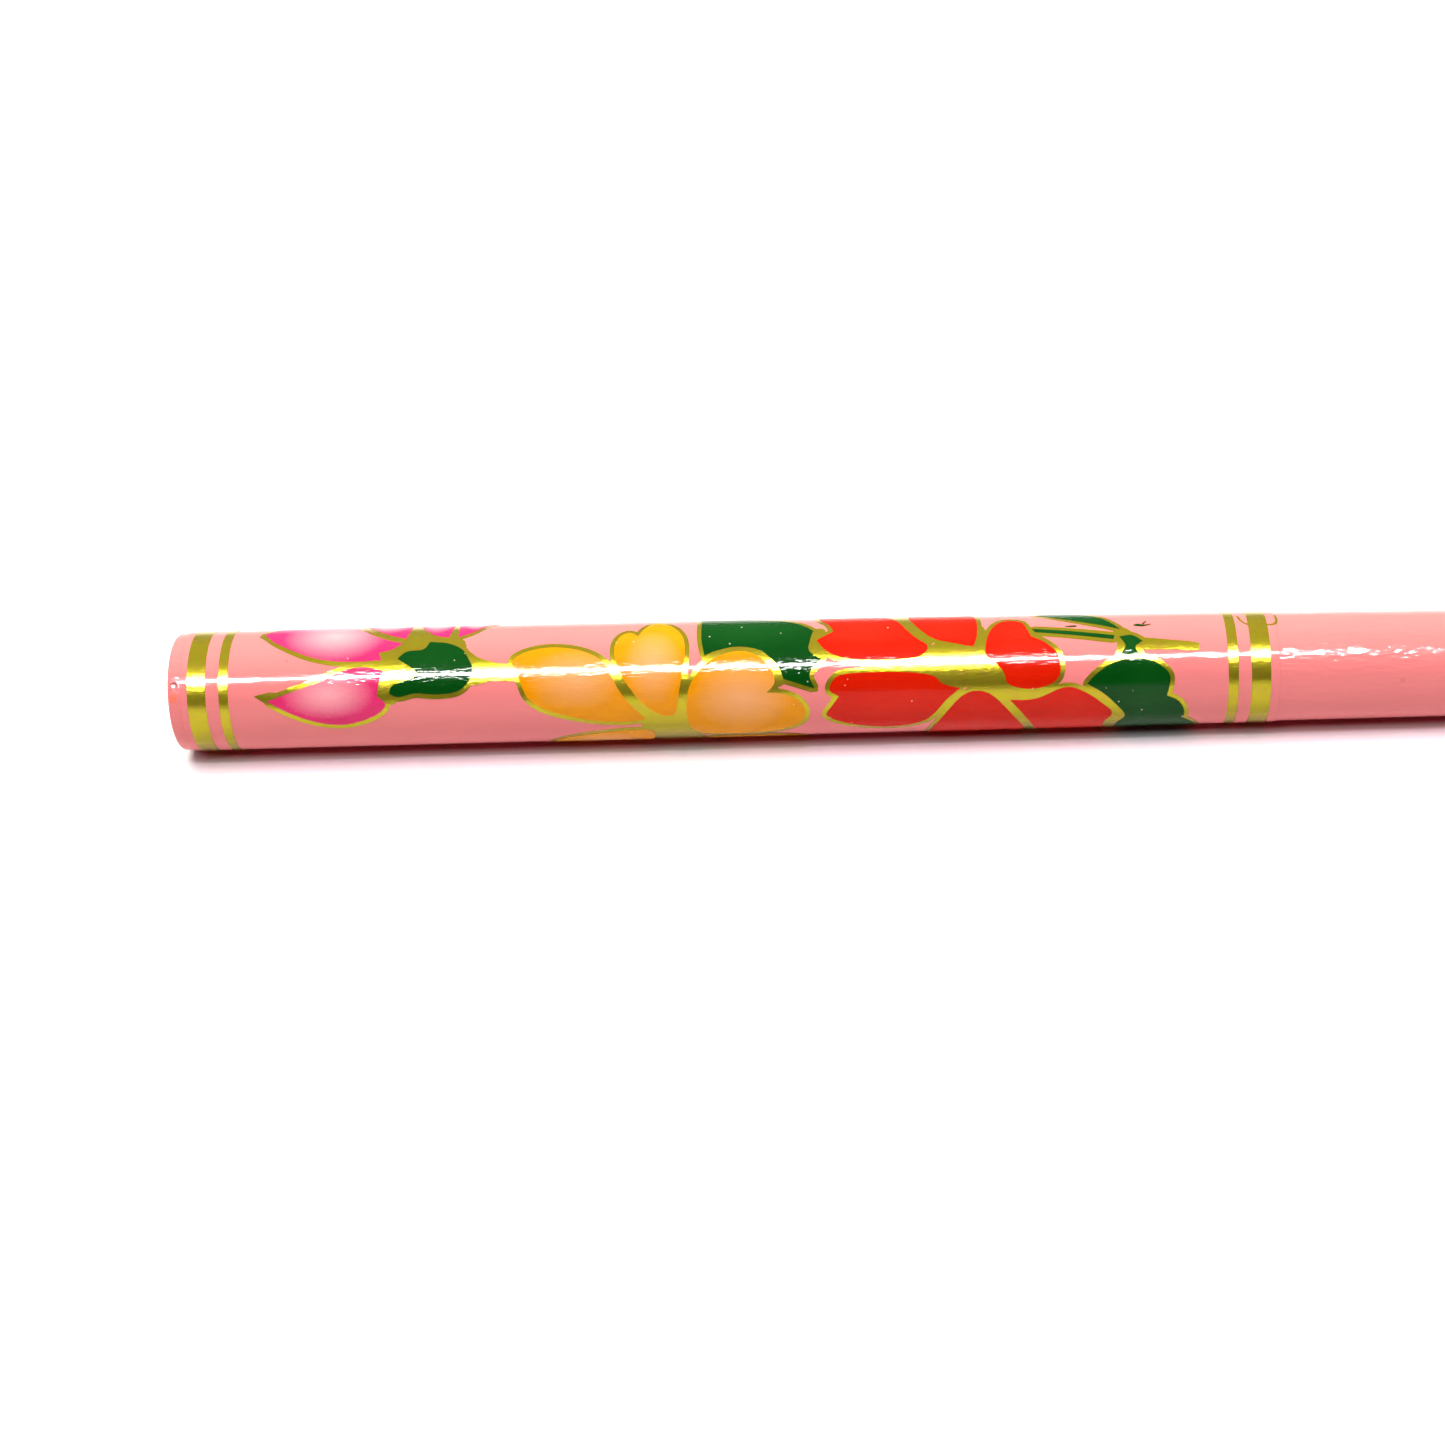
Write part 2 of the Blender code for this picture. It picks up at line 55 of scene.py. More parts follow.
# %% [markdown]
# ## The form of the stick
#
# A turned stick could be a cone, but a lathe hand leaves a slow convex taper, so the radius here falls
# with the square of the distance from the head as well. The lacquer's build-up grows a little towards the
# tip, which was the lower end while it dried. The stick lies with its lower line straight on the floor,
# and so its centre line drops towards the tip.

# %% Sizes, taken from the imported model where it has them
MM = 0.001
STICK_LENGTH = 180 * MM
NOSE_LENGTH = 5 * MM
HEAD_ROUNDING = 0.35 * MM
COAT = 0.15 * MM
BUILD_UP = 0.05 * MM
BUILD_UP_GAIN = 0.0006
TAPER_PER_METRE = 0.00264
TAPER_PER_METRE_SQUARED = 0.0409
coat_low, coat_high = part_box("lacquer_coat")
band_low, band_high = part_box("band_head_wide")
HEAD_X = coat_low.x
TIP_STATION = coat_high.x - coat_low.x
HEAD_RADIUS = (coat_high.y - coat_low.y) / 2 + TAPER_PER_METRE * HEAD_ROUNDING
PRINT_RISE = band_high.y - HEAD_RADIUS + TAPER_PER_METRE * (band_low.x - HEAD_X)
print("head radius", round(HEAD_RADIUS / MM, 3), "mm, print stands", round(PRINT_RISE / MM, 3), "mm proud")


def packed_radius(along):
    """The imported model's radius under the print, at a distance `along` from the head."""
    return HEAD_RADIUS - TAPER_PER_METRE * along - TAPER_PER_METRE_SQUARED * along**2


def body_radius(along):
    """The finished skin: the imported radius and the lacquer's build-up, which grows towards the tip."""
    return packed_radius(along) + BUILD_UP + BUILD_UP_GAIN * along


def centre_height(along):
    return packed_radius(along) + PRINT_RISE


# %% [markdown]
# A real lacquered surface is never a perfect cone. Slow waves a few thousandths of a millimetre high bend
# the long reflection of a lamp. Every layer uses the same waves, so that the thin layers stay on top of
# one another.

# %% The stick's surface, with its slow waves
WAVE_HEIGHT = 0.004 * MM
WAVE_LENGTH = 9 * MM


def surface_point(along, angle, radius):
    """A point at `radius` around the centre line; angle 0 is straight up and grows towards -Y."""
    across = Vector((along, math.sin(angle) * radius, math.cos(angle) * radius)) / WAVE_LENGTH
    reach = radius + WAVE_HEIGHT * noise.noise(across)
    return Vector((HEAD_X + along, -reach * math.sin(angle), centre_height(along) + reach * math.cos(angle)))


print("waves:", round(WAVE_HEIGHT / MM, 4), "mm high,", round(WAVE_LENGTH / MM), "mm long")

# %% [markdown]
# The print is laid out flat, in millimetres: along the stick from its head, and around it from the line
# that faces the camera. `wrapped` puts a flat point on the stick.

# %% From the flat print to the stick
PRINT_RADIUS = 3.7
PRINT_FACING = math.radians(52)


def wrapped(flat_point, rise):
    along = flat_point.x * MM
    angle = PRINT_FACING - flat_point.y / PRINT_RADIUS
    return surface_point(along, angle, body_radius(along) + rise)


print("the print faces", round(math.degrees(PRINT_FACING)), "degrees from straight up")

# %% [markdown]
# ## Shader maths as plain expressions
#
# Node trees are easier to read as formulas. `Wire` wraps one output socket, and adding, subtracting or
# multiplying wires adds the Math nodes. The reflected forms let a formula start with a number, as in `1 -
# mask`.

# %% Wires
class Wire:
    """One output socket of a network. Arithmetic on it adds Math nodes."""

    def __init__(self, network, socket):
        self.network = network
        self.socket = socket

    def maths(self, operation, first, second):
        return self.network.node("ShaderNodeMath", {"operation": operation}, {0: first, 1: second})

    def __add__(self, other):
        return self.maths("ADD", self, other)

    def __sub__(self, other):
        return self.maths("SUBTRACT", self, other)

    def __rsub__(self, other):
        return self.maths("SUBTRACT", other, self)

    def __mul__(self, other):
        return self.maths("MULTIPLY", self, other)

    __radd__ = __add__
    __rmul__ = __mul__


# %% [markdown]
# `Network` wraps one node tree. Its `node` method makes any node from its type, its settings and the
# values or wires of its sockets, so each node takes one line.

# %% Networks
class Network:
    """One node tree, and the nodes that are made in it."""

    def __init__(self, tree):
        self.tree = tree

    def node(self, kind, settings=None, inputs=None, output=0):
        made = self.tree.nodes.new(kind)
        for name, value in (settings or {}).items():
            if name == "stops":
                ramp = made.color_ramp.elements
                while len(ramp) < len(value):
                    ramp.new(0.5)
                for element, (place, level) in zip(ramp, value):
                    element.position = place
                    element.color = (level, level, level, 1)
            else:
                setattr(made, name, value)
        for name, value in (inputs or {}).items():
            self.join(value, made.inputs[name])
        return Wire(self, made.outputs[output])

    def join(self, value, socket):
        if isinstance(value, Wire):
            self.tree.links.new(value.socket, socket)
        elif isinstance(value, (tuple, list)) and len(value) == 3 and socket.type == "RGBA":
            socket.default_value = (*value, 1)
        else:
            socket.default_value = value

    def ramp(self, wire, *stops):
        return self.node("ShaderNodeValToRGB", {"stops": stops}, {"Fac": wire})

    def mix(self, mask, base, over):
        """Colour `base` where the mask is 0 and colour `over` where it is 1."""
        return self.node("ShaderNodeMix", {"data_type": "RGBA"}, {0: mask, 6: base, 7: over}, output=2)


# %% [markdown]
# A finish is a network round one Principled shader. Its noise is measured in millimetres on the object,
# so a grain keeps its real size whatever mesh it is put on.

# %% Finishes
class Finish(Network):
    """One material: a Principled shader and the nodes that feed it."""

    def __init__(self, name, **constants):
        self.material = bpy.data.materials.new(name)
        self.material.use_nodes = True
        super().__init__(self.material.node_tree)
        self.shader = self.tree.nodes["Principled BSDF"]
        for socket, value in constants.items():
            self.shader.inputs[socket.replace("_", " ")].default_value = value

    def feed(self, socket, wire):
        self.join(wire, self.shader.inputs[socket])

    def place(self, scale):
        """Positions on the object in millimetres, scaled along, across and up."""
        coordinates = self.node("ShaderNodeTexCoord", output=3)
        return self.node("ShaderNodeVectorMath", {"operation": "MULTIPLY"},
                         {0: coordinates, 1: [factor / MM for factor in scale]})

    def clouds(self, scale, detail=3.0, rough=0.5):
        """Soft noise from 0 to 1 with `scale` cycles per millimetre in each direction."""
        return self.node("ShaderNodeTexNoise", {},
                         {"Vector": self.place(scale), "Scale": 1.0, "Detail": detail, "Roughness": rough})

    def specks(self, density, size):
        """1 in small round specks, 0 elsewhere."""
        cells = self.node("ShaderNodeTexVoronoi", {}, {"Vector": self.place((1, 1, 1)), "Scale": density})
        return self.ramp(cells, (0.0, 1), (size, 0))

    def spot(self, along, around, radius):
        """1 at one place on the print, fading to 0 at `radius` millimetres from it."""
        coordinates = self.node("ShaderNodeTexCoord", output=3)
        centre = wrapped(Vector((along, around)), 0)
        distance = self.node("ShaderNodeVectorMath", {"operation": "DISTANCE"}, {0: coordinates, 1: centre},
                             output=1)
        return self.ramp(distance * (1 / (radius * MM)), (0.4, 1), (1.0, 0))

    def bump(self, height, strength, distance):
        return self.node("ShaderNodeBump", {}, {"Height": height, "Strength": strength, "Distance": distance})


# %% [markdown]
# ## The finishes
#
# The lacquer is salmon pink under gloss. Dipped lacquer could be one flat colour, but dust, thin spots
# and orange peel are what makes it read as lacquer, so the colour drifts a little, a few specks sit in it
# and a shallow bump breaks up the lamp's reflection. The rim of the head has a chipped place and a nick.
#
# The bare tail has an orange peel that pulls the reflection into droplets. The film flattens it and adds
# a smooth coat of its own. A Principled shader's bump bends its base gloss and leaves the coat alone, so
# the two together give a ragged reflection with an unbroken line in its middle.

# %% Pink lacquer, on the stick and seen through the clear film
PINK = (0.50, 0.132, 0.137)
PINK_THIN = (0.52, 0.140, 0.143)
PINK_DUST = (0.30, 0.08, 0.07)
RIM_CHIP = (0.62, 0.12, 0.04)
LACQUER_GLOSS = 0.07
DUST_NEAR_HEAD = (8.1, 1.8)
DUST_PAST_NECK = (82.0, -1.1)
CHIP_PLACE = (0.45, -0.4)
NICK_PLACE = (0.5, 0.35)


def lacquer(name, peel, clear):
    """Pink lacquer with an orange peel `peel` deep, under a clear film of coat weight `clear`."""
    finish = Finish(name, Roughness=0.11, Specular_IOR_Level=LACQUER_GLOSS - clear / 2,
                    Coat_Weight=clear, Coat_Roughness=0.04)
    drift = finish.ramp(finish.clouds((0.12, 0.35, 0.35)), (0.3, 0), (0.7, 1))
    dust = (finish.specks(0.42, 0.045) + finish.spot(*DUST_NEAR_HEAD, 0.12)
            + finish.spot(*DUST_PAST_NECK, 0.2) * 0.4)
    colour = finish.mix(drift, PINK, PINK_THIN)
    chipped = finish.mix(finish.spot(*CHIP_PLACE, 0.42) * 0.6, colour, RIM_CHIP)
    finish.feed("Base Color", finish.mix(dust * 0.7, chipped, PINK_DUST))
    fine = finish.clouds((0.9, 3.6, 3.6), detail=1.5)
    nick = finish.spot(*NICK_PLACE, 0.3)
    finish.feed("Normal", finish.bump(fine + dust * 0.8 - nick * 3.0, 1.0, peel))
    return finish.material


pink_lacquer = lacquer("pink_lacquer", peel=0.045 * MM, clear=0.0)
film_over_pink = lacquer("film_over_pink", peel=0.014 * MM, clear=0.06)
print("lacquers:", pink_lacquer.name, film_over_pink.name)

# %% [markdown]
# The gold is hot-stamped foil with a tinted varnish on it, which is why it is greener and duller than a
# bare metal. A plain metal would also be too even: stamped foil is thinner in places and shows a warmer
# ground there, and its tiny creases spread the reflection. A weak coat on top keeps a white core in the
# reflection.

# %% Gold foil
GOLD = (0.278, 0.230, 0.010)
GOLD_WARM = (0.29, 0.17, 0.03)


def gold_foil():
    finish = Finish("gold_foil", Metallic=0.7, Specular_IOR_Level=0.12,
                    Coat_Weight=0.03, Coat_Roughness=0.05)
    worn = finish.ramp(finish.clouds((1.4, 2.6, 2.6), detail=5.0), (0.48, 0), (0.75, 1))
    finish.feed("Base Color", finish.mix(worn * 0.6, GOLD, GOLD_WARM))
    creases = finish.clouds((2.5, 6.0, 6.0), detail=4.0, rough=0.6)
    finish.feed("Roughness", creases * 0.12 + 0.10)
    finish.feed("Normal", finish.bump(creases, 1.0, 0.016 * MM))
    return finish.material


gold = gold_foil()
print("foil:", gold.name)

# %% [markdown]
# The inks are printed with a soft airbrushed heart. A colour per vertex would need a very dense mesh, so
# each patch instead carries the flat print's own coordinates as a UV map, and its finish measures the
# distance from the petal's heart there. Dust under the film shows as a few light grains. Small pits bend
# the base gloss, and the coat above them stays smooth, as on the lacquer.

# %% Inks
PRINT_MAP = "print"
GRAIN_LIGHT = (0.75, 0.6, 0.5)


def ink(name, rim, heart, centre, reach, glow):
    finish = Finish(name, Roughness=0.09, Specular_IOR_Level=0.055, Coat_Weight=0.07, Coat_Roughness=0.04)
    flat = finish.node("ShaderNodeUVMap", {"uv_map": PRINT_MAP})
    offset = finish.node("ShaderNodeVectorMath", {"operation": "SUBTRACT"}, {0: flat, 1: (*centre, 0)})
    scaled = finish.node("ShaderNodeVectorMath", {"operation": "DIVIDE"}, {0: offset, 1: (*reach, 1)})
    distance = finish.node("ShaderNodeVectorMath", {"operation": "LENGTH"}, {0: scaled}, output=1)
    grain = finish.clouds((6.0, 6.0, 6.0), detail=2.0)
    soft = finish.ramp(distance + (grain - 0.5) * 0.15, (0.0, 1), (0.45, 0.62), (1.0, 0))
    blotches = finish.ramp(finish.clouds((0.9, 1.6, 1.6)), (0.35, 0), (0.7, 1))
    deep = [level * 0.85 for level in rim]
    shaded = finish.mix(soft * glow, finish.mix(blotches * 0.6, rim, deep), heart)
    dust = finish.specks(1.0, 0.07)
    finish.feed("Base Color", finish.mix(dust * 0.8, shaded, GRAIN_LIGHT))
    pits = finish.clouds((1.6, 6.0, 6.0), detail=1.5)
    finish.feed("Normal", finish.bump(pits + dust, 1.0, 0.024 * MM))
    return finish.material


# %% [markdown]
# ## The skins
#
# Lacquer and film are surfaces of revolution. A Screw modifier could turn them, but the centre line drops
# along the stick, so the rings are placed one by one and bridged.

# %% Turned skins
SIDES = 192
SHARP_EDGE = math.radians(35)


def ring_stations(start, end, spacing=1 * MM):
    count = max(2, round((end - start) / spacing))
    return [start + (end - start) * step / count for step in range(count + 1)]


def turned(name, profile, closed, material):
    """A skin from (along, radius) points. Radius 0 closes it at a pole."""
    shape = bmesh.new()
    rings = []
    for along, radius in profile:
        sides = 1 if radius == 0 else SIDES
        rings.append([shape.verts.new(surface_point(along, math.tau * side / SIDES, radius))
                      for side in range(sides)])
    pairs = list(zip(rings, rings[1:])) + ([(rings[-1], rings[0])] if closed else [])
    for near, far in pairs:
        for side in range(SIDES):
            after = (side + 1) % SIDES
            loop = [near[side % len(near)], near[after % len(near)],
                    far[after % len(far)], far[side % len(far)]]
            shape.faces.new(list(dict.fromkeys(loop)))
    bmesh.ops.recalc_face_normals(shape, faces=shape.faces)
    return finished(name, shape, material)


def finished(name, shape, material):
    """Turns the shape into a piece on the stick, smooth except at its real edges."""
    mesh = bpy.data.meshes.new(name)
    shape.to_mesh(mesh)
    shape.free()
    mesh.materials.append(material)
    mesh.shade_smooth()
    mesh.set_sharp_from_angle(angle=SHARP_EDGE)
    piece = bpy.data.objects.new(name, mesh)
    bpy.context.scene.collection.objects.link(piece)
    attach(piece, "root")
    return piece


def nose_factor(along):
    """1 on the shaft, then a quarter of an ellipse down to 0 over the nose."""
    past = max(0.0, along - (STICK_LENGTH - NOSE_LENGTH)) / NOSE_LENGTH
    return math.sqrt(max(0.0, 1 - past**2))


# %% [markdown]
# The lacquer skin runs from the head face over a rounded edge, along the shaft and round the nose. It
# turns in at a small bare spot on the tip, where the stick stood in its drying rack. A Solidify modifier
# could give the coat its thickness. A second profile on the inside does the same and keeps its edges
# exact.

# %% Lacquer skin
ROUNDING_STEPS = 8
NOSE_STEPS = 24
HEAD_FACE_RINGS = 6


def head_edge(inset):
    rounding = HEAD_ROUNDING - inset
    for step in range(ROUNDING_STEPS + 1):
        angle = math.pi / 2 * step / ROUNDING_STEPS
        yield (HEAD_ROUNDING - rounding * math.cos(angle),
               body_radius(HEAD_ROUNDING) - HEAD_ROUNDING + rounding * math.sin(angle))


def nose(inset, end):
    start = STICK_LENGTH - NOSE_LENGTH
    for step in range(1, NOSE_STEPS + 1):
        along = start + (end - start) * math.sin(math.pi / 2 * step / NOSE_STEPS)
        yield along, body_radius(along) * nose_factor(along) - inset


def skin_profile(inset, end):
    face_radius = body_radius(HEAD_ROUNDING) - HEAD_ROUNDING
    face = [(inset, face_radius * ring / HEAD_FACE_RINGS) for ring in range(HEAD_FACE_RINGS)]
    shaft = [(along, body_radius(along) - inset)
             for along in ring_stations(HEAD_ROUNDING, STICK_LENGTH - NOSE_LENGTH)]
    return [*face, *head_edge(inset), *shaft[1:], *nose(inset, end)]


outside = skin_profile(0, TIP_STATION)
inside = skin_profile(COAT, TIP_STATION - COAT)
lacquer_skin = turned("lacquer_skin", [*outside, *reversed(inside)], False, pink_lacquer)
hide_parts("lacquer_coat")
print("lacquer skin:", len(lacquer_skin.data.polygons), "faces")

# %% [markdown]
# The film is clear, so what it shows is the pink under it. It is a very thin sleeve with its own edge:
# that edge is the fine line just past the last wide band.

# %% Film sleeve
FILM_TOP = 0.05 * MM
FILM_EDGE = 0.03 * MM
EMBED = 0.02 * MM


def sleeve(name, start, end, low, high, edge, material):
    """A tube on the shaft with eased edges."""
    stations = ring_stations(start, end, spacing=min(1 * MM, (end - start) / 4))
    crest = [(start, high - edge), (start + edge, high), *[(s, high) for s in stations[1:-1]],
             (end - edge, high), (end, high - edge)]
    outer = [(along, body_radius(along) + rise) for along, rise in crest]
    inner = [(along, body_radius(along) + low) for along in reversed(stations)]
    return turned(name, [*outer, *inner], True, material)


film_low, film_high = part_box("transfer_film")
film_sleeve = sleeve("film_sleeve", film_low.x - HEAD_X, film_high.x - HEAD_X, -EMBED, FILM_TOP, FILM_EDGE,
                     film_over_pink)
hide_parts("transfer_film")
print("film sleeve:", len(film_sleeve.data.polygons), "faces")

# %% [markdown]
# ## Foil bands
#
# Two bands frame the print at each end, a wide one outside and a narrow one inside. A foil band could be
# a colour on the skin, but then its edge would be as soft as a texture. As thin rings they keep a crisp
# edge.

# %% The four bands
BAND_TOP = 0.08 * MM
BAND_EDGE = 0.02 * MM
BANDS = ("band_head_wide", "band_head_narrow", "band_neck_narrow", "band_neck_wide")
for name in BANDS:
    low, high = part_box(name)
    ring = sleeve(name + "_foil", low.x - HEAD_X, high.x - HEAD_X, FILM_TOP - EMBED, BAND_TOP, BAND_EDGE,
                  gold)
    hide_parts(name)
print("bands laid:", len(BANDS))

# %% [markdown]
# ## The print, laid out flat
#
# A printed flower is easiest to draw on the flat film, in millimetres along the stick and around it, and
# to wrap afterwards. Each outline is a closed smooth curve through a few points, and a point marked as a
# corner counts twice, which keeps its angle.

# %% Outlines
CURVE_STEPS = 8
LOOP_MARGIN = 0.97


def smooth_outline(points, steps=CURVE_STEPS):
    """A closed Catmull-Rom curve through the points."""
    knots = []
    for point in points:
        knots.extend([Vector(point[:2])] * (2 if "corner" in point else 1))
    outline = []
    for number, start in enumerate(knots):
        before, end = knots[number - 1], knots[(number + 1) % len(knots)]
        after = knots[(number + 2) % len(knots)]
        if start == end:
            continue
        for step in range(steps):
            t = step / steps
            slope = (end - before) * t
            bend = (2 * before - 5 * start + 4 * end - after) * t**2
            twist = (3 * start - before - 3 * end + after) * t**3
            outline.append(0.5 * (2 * start + slope + bend + twist))
    return outline


def signed_area(outline):
    return sum(a.x * b.y - b.x * a.y for a, b in zip(outline, outline[1:] + outline[:1])) / 2


def distance_to_outline(point, outline):
    best = math.inf
    for a, b in zip(outline, outline[1:] + outline[:1]):
        edge = b - a
        share = max(0.0, min(1.0, (point - a).dot(edge) / edge.length_squared))
        best = min(best, (point - a - share * edge).length)
    return best


def widened(outline, width):
    """The outline moved outwards, without the loops that form in narrow notches."""
    turn = 1 if signed_area(outline) > 0 else -1
    moved = []
    for number, here in enumerate(outline):
        before, after = outline[number - 1], outline[(number + 1) % len(outline)]
        tangent = (here - before).normalized() + (after - here).normalized()
        place = here + width * turn * Vector((tangent.y, -tangent.x)).normalized()
        if distance_to_outline(place, outline) > LOOP_MARGIN * width:
            moved.append(place)
    return moved


# %% [markdown]
# Wrapping needs a mesh that can bend. The flat outlines are cut by a grid of lines, along the stick every
# three degrees or so and across it every millimetre, and the union is triangulated in one step. A
# Shrinkwrap modifier could lay such a patch on the skin, but the formula that made the skin places it
# exactly. The same triangles make the top and the underside of a thin closed patch.

# %% Wrapped patches
GRID_AROUND = math.tau / SIDES * PRINT_RADIUS * 1.5
GRID_ALONG = 1.0
JOIN_WITHIN = 1e-4


def grid_lines(outlines):
    xs = [point.x for outline in outlines for point in outline]
    ys = [point.y for outline in outlines for point in outline]
    for number in range(math.ceil(min(ys) / GRID_AROUND), math.floor(max(ys) / GRID_AROUND) + 1):
        yield Vector((min(xs) - 1, number * GRID_AROUND)), Vector((max(xs) + 1, number * GRID_AROUND))
    for number in range(math.ceil(min(xs) / GRID_ALONG), math.floor(max(xs) / GRID_ALONG) + 1):
        yield Vector((number * GRID_ALONG, min(ys) - 1)), Vector((number * GRID_ALONG, max(ys) + 1))


def patch(name, outlines, low, high, material):
    """A thin closed piece with the joined shape of the flat outlines, wrapped from `low` to `high`."""
    points, faces, edges = [], [], []
    for outline in outlines:
        ordered = outline if signed_area(outline) > 0 else outline[::-1]
        faces.append(list(range(len(points), len(points) + len(ordered))))
        points.extend(ordered)
    for start, end in grid_lines(outlines):
        edges.append((len(points), len(points) + 1))
        points.extend([start, end])
    flat, _, triangles, _, _, owners = delaunay_2d_cdt(points, edges, faces, 0, JOIN_WITHIN, True)
    shape = bmesh.new()
    layer = shape.loops.layers.uv.new(PRINT_MAP)
    under, over = [[shape.verts.new(wrapped(point, rise)) for point in flat] for rise in (low, high)]
    border = {}
    flat_of = {}
    for number, point in enumerate(flat):
        flat_of[under[number]] = flat_of[over[number]] = point
    for triangle, owner in zip(triangles, owners):
        if owner:
            shape.faces.new([over[corner] for corner in triangle])
            shape.faces.new([under[corner] for corner in reversed(triangle)])
            for start, end in zip(triangle, triangle[1:] + triangle[:1]):
                if border.pop((end, start), None) is None:
                    border[(start, end)] = True
    for start, end in border:
        shape.faces.new([over[end], over[start], under[start], under[end]])
    bmesh.ops.delete(shape, geom=[vert for vert in shape.verts if not vert.link_faces], context="VERTS")
    bmesh.ops.recalc_face_normals(shape, faces=shape.faces)
    for face in shape.faces:
        for corner in face.loops:
            corner[layer].uv = flat_of[corner.vert]
    return finished(name, shape, material)


# %% [markdown]
# ## Petals and leaves
#
# The magenta blossom opens towards the head from a green calyx, the yellow one lies in the middle and the
# red one fills the neck end. Each ink has a colour for its rim, one for its heart, and the strength of
# the heart: magenta and yellow are strongly airbrushed, red and green hardly.

# %% Ink colours
MAGENTA_RIM, MAGENTA_HEART = (0.46, 0.017, 0.095), (0.58, 0.235, 0.265)
YELLOW_RIM, YELLOW_HEART = (0.51, 0.180, 0.001), (0.53, 0.235, 0.095)
RED_RIM, RED_HEART = (0.41, 0.007, 0.001), (0.43, 0.013, 0.004)
GREEN_RIM, GREEN_HEART = (0.001, 0.036, 0.003), (0.003, 0.046, 0.005)
INKS = {"magenta": (MAGENTA_RIM, MAGENTA_HEART, 1.0), "yellow": (YELLOW_RIM, YELLOW_HEART, 1.0),
        "red": (RED_RIM, RED_HEART, 0.5), "green": (GREEN_RIM, GREEN_HEART, 0.6)}
print("inks:", *INKS)

# %% [markdown]
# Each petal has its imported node's name, its ink, the place of its heart, how far the heart reaches along
# and around, and its outline. The petals that pass over the top of the stick or under it are complete, so
# the blossoms stay whole when the stick is turned.

